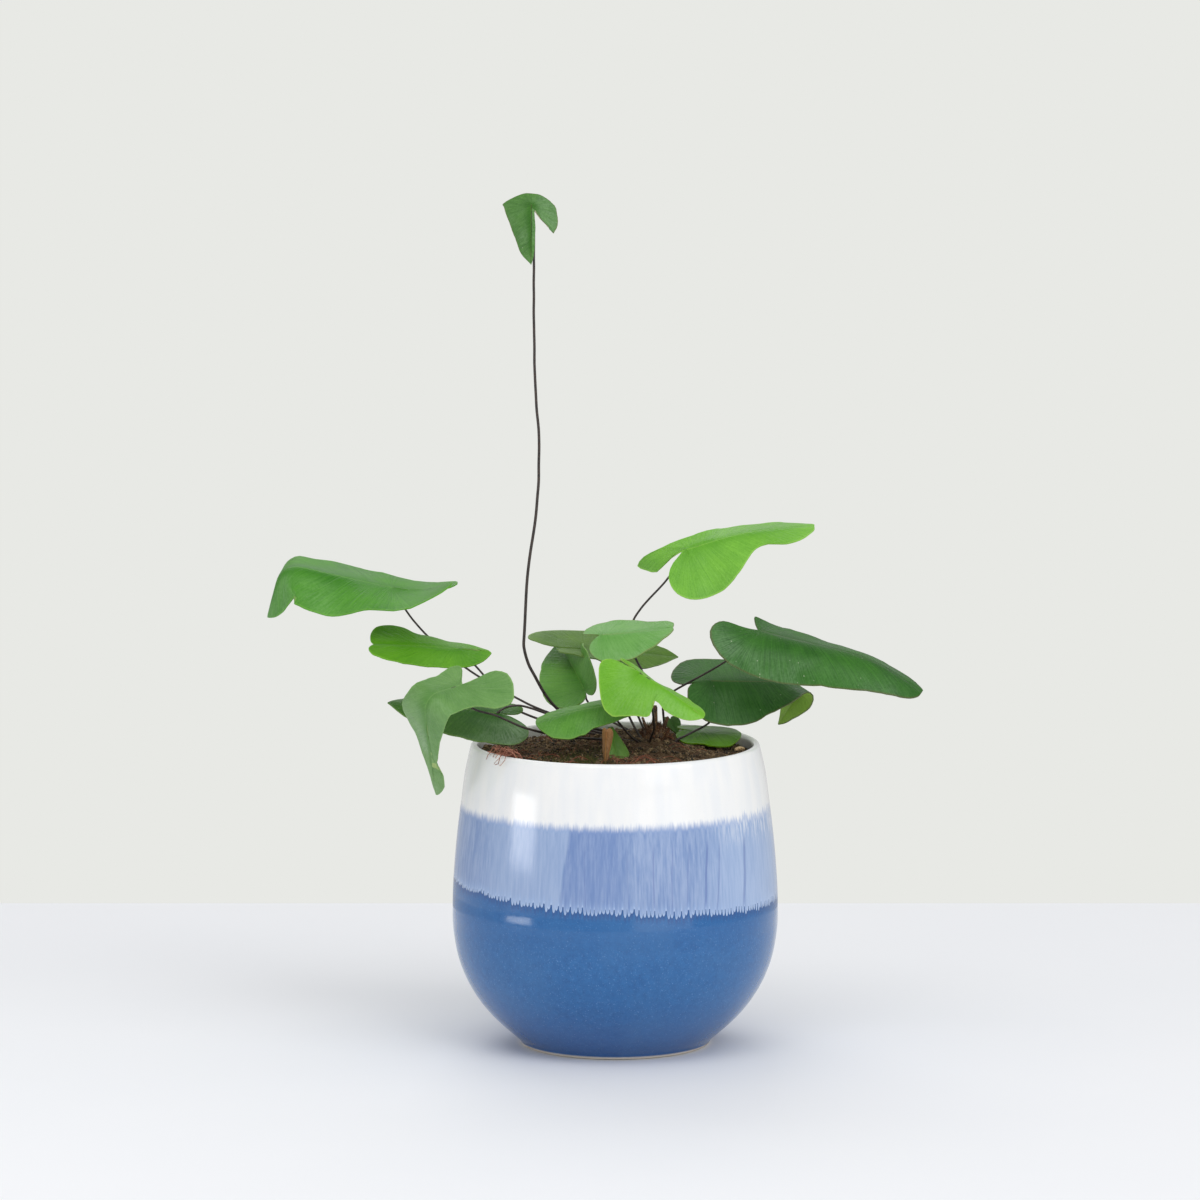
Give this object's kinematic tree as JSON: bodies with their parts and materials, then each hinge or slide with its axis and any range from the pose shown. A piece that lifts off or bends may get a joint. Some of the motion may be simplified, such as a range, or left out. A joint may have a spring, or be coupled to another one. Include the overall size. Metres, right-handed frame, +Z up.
{
  "type": "potted heart fern",
  "caption": "Heart leaf fern with long heart-shaped blades on thin black stalks, in a round-bellied pot with a white, lavender and blue drip glaze.",
  "frame": {"origin": "centre of the pot's foot, on the surface it rests on", "axes": "+Z up along the pot's axis, -Y toward the viewer, +X to the viewer's right"},
  "size_m": [0.2761, 0.1374, 0.3593],
  "materials": {
    "glaze": "gloss reactive glaze: white rim band, streaked periwinkle band with drips, speckled deep blue below",
    "soil": "rough dark potting mix",
    "crown": "rough scaly rhizome with short pale stubs",
    "dry_leaf": "dry curled brown leaflet",
    "stick": "bleached twig",
    "leaf_light": "leathery bright green blade, satin",
    "leaf_mid": "leathery mid green blade, satin",
    "leaf_grey": "leathery grey-green blade, satin",
    "leaf_deep": "leathery deep green blade, satin",
    "leaf_olive": "leathery olive green blade, satin",
    "stipe": "thin wiry near-black stalk, slight gloss"
  },
  "bodies": {
    "root": {"pot": "glaze", "soil": "soil", "crown": "crown", "dry_leaflet": "dry_leaf", "stick": "stick", "blade_far_left": "leaf_mid", "stipe_far_left": "stipe", "blade_left": "leaf_light", "stipe_left": "stipe", "blade_front_left": "leaf_grey", "stipe_front_left": "stipe", "blade_low_left": "leaf_deep", "stipe_low_left": "stipe", "blade_back_left": "leaf_olive", "stipe_back_left": "stipe", "blade_upper_centre": "leaf_grey", "stipe_upper_centre": "stipe", "blade_centre": "leaf_light", "stipe_centre": "stipe", "blade_low_centre": "leaf_mid", "stipe_low_centre": "stipe", "blade_upper_right": "leaf_light", "stipe_upper_right": "stipe", "blade_back_centre": "leaf_olive", "stipe_back_centre": "stipe", "blade_right": "leaf_deep", "stipe_right": "stipe", "blade_low_right": "leaf_deep", "stipe_low_right": "stipe", "blade_rim_right": "leaf_light", "stipe_rim_right": "stipe", "blade_small_back": "leaf_deep", "stipe_small_back": "stipe", "blade_small_front": "leaf_mid", "stipe_small_front": "stipe", "blade_fertile": "leaf_olive", "stipe_fertile": "stipe"}
  },
  "joints": []
}
